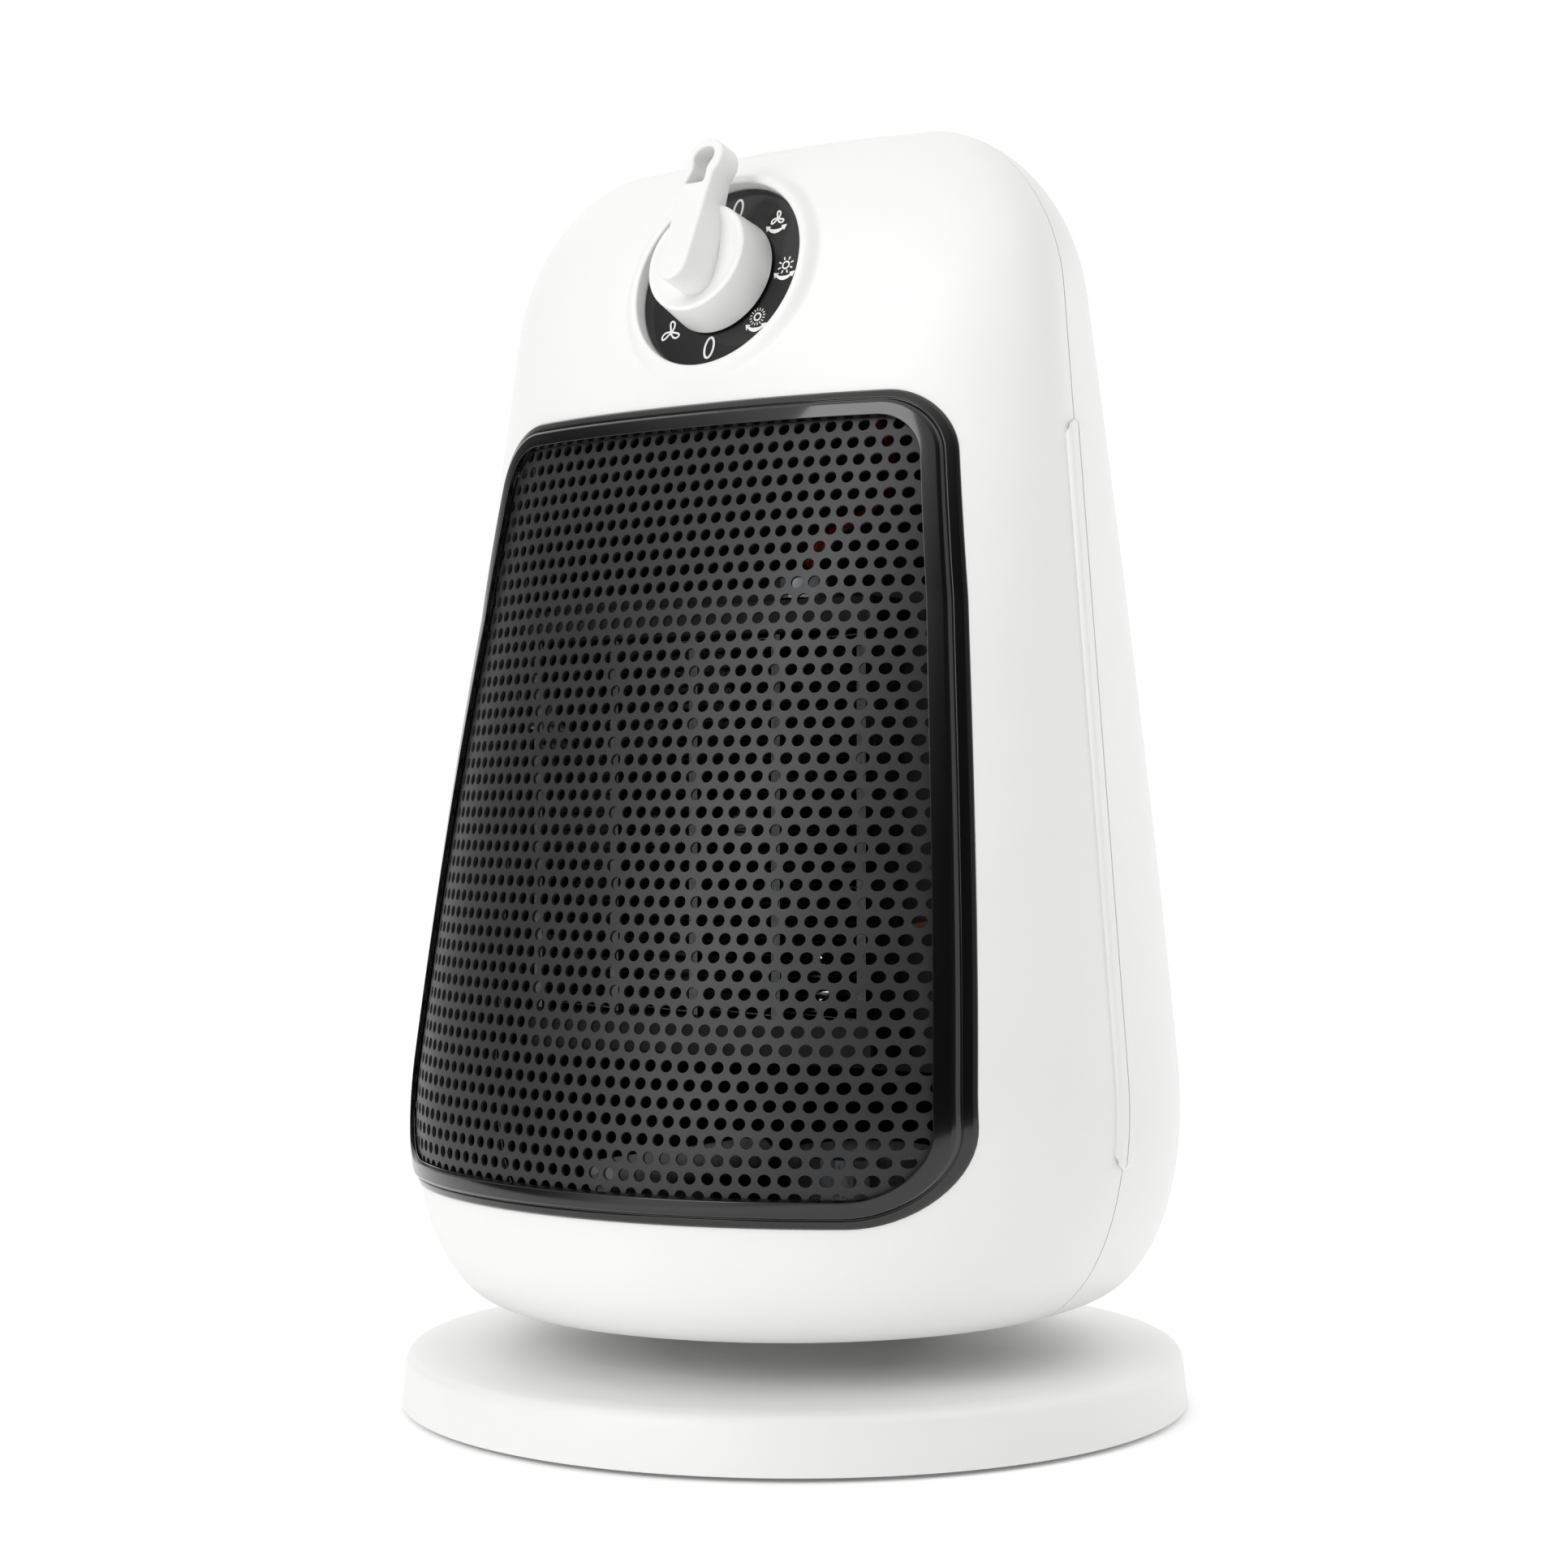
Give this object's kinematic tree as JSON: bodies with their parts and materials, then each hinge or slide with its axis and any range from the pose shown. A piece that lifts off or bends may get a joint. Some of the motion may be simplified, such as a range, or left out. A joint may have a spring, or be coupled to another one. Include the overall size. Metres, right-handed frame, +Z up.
{
  "type": "fan convector heater",
  "caption": "Oscillating ceramic fan heater: tapered white body on a round swivel base, black perforated front, tilted pointer knob.",
  "frame": {"origin": "centre of the base's footprint, on the surface that the heater stands on", "axes": "+Z up along the swing axis, front grille towards -Y, +X to the right of the front as seen from it"},
  "size_m": [0.2032, 0.2, 0.319],
  "materials": {
    "white_abs": "satin moulded",
    "gloss_black": "polished",
    "grille_black": "satin powder coat",
    "black_nylon": "moulded",
    "ivory_nylon": "moulded",
    "steel": "zinc plated",
    "aluminium": "mill finish",
    "rubber": "matte",
    "wire_red": "insulation",
    "wire_blue": "insulation",
    "wire_brown": "insulation"
  },
  "bodies": {
    "base": {"base_ballast": "steel", "base_bottom_cover": "black_nylon", "base_shell": "white_abs", "cord_gland": "black_nylon", "cover_screw_1": "steel", "cover_screw_2": "steel", "cover_screw_3": "steel", "gear_screw_1": "steel", "gear_screw_2": "steel", "gear_screw_3": "steel", "rubber_foot_1": "rubber", "rubber_foot_2": "rubber", "rubber_foot_3": "rubber", "rubber_foot_4": "rubber", "swivel_bearing_ring": "ivory_nylon", "swivel_gear": "ivory_nylon"},
    "housing": {"casing_screw_1": "steel", "casing_screw_2": "steel", "casing_screw_3": "steel", "casing_screw_4": "steel", "casing_screw_5": "steel", "casing_screw_6": "steel", "dial_plate": "gloss_black", "fan_motor": "steel", "fan_shroud": "black_nylon", "front_bezel": "gloss_black", "front_casing": "white_abs", "front_grille": "grille_black", "heater_element_1": "aluminium", "heater_element_2": "aluminium", "heater_element_3": "aluminium", "heater_element_4": "aluminium", "heater_element_5": "aluminium", "heater_fin_pack_1": "aluminium", "heater_fin_pack_2": "aluminium", "heater_fin_pack_3": "aluminium", "heater_fin_pack_4": "aluminium", "heater_rail_bottom": "black_nylon", "heater_rail_top": "black_nylon", "motor_bracket": "steel", "platform_screw_1": "steel", "platform_screw_2": "steel", "platform_screw_3": "steel", "rear_casing": "white_abs", "rotary_switch": "black_nylon", "swing_motor": "steel", "swing_motor_bracket": "steel", "swivel_platform": "black_nylon", "terminal_block": "ivory_nylon", "thermal_cutout": "steel", "tip_over_switch": "black_nylon", "wire_mains_feed": "wire_brown", "wire_motor": "wire_blue", "wire_switch_to_heater": "wire_red"},
    "knob": {"control_knob": "white_abs", "switch_shaft": "steel"},
    "fan": {"fan_impeller": "black_nylon", "motor_shaft": "steel", "impeller_nut": "steel"},
    "pinion": {"swing_pinion": "ivory_nylon"}
  },
  "joints": [
    {"name": "swing", "type": "hinge", "parent": "base", "child": "housing", "pos_m": [0, 0, 0.03], "axis": [0, 0, 1], "range_deg": [-35, 35]},
    {"name": "knob_turn", "type": "hinge", "parent": "housing", "child": "knob", "pos_m": [0, -0.033, 0.2837], "axis": [0, -0.9497, 0.3132], "continuous": true},
    {"name": "fan_spin", "type": "hinge", "parent": "housing", "child": "fan", "pos_m": [0, 0, 0.146], "axis": [0, -1, 0], "continuous": true},
    {"name": "pinion_spin", "type": "hinge", "parent": "housing", "child": "pinion", "pos_m": [0, 0.0313, 0.0387], "axis": [0, 0, 1], "range_deg": [-125, 125]}
  ],
  "couplings": [
    {"joint": "pinion_spin", "follows": "swing", "ratio": 3.4286}
  ]
}
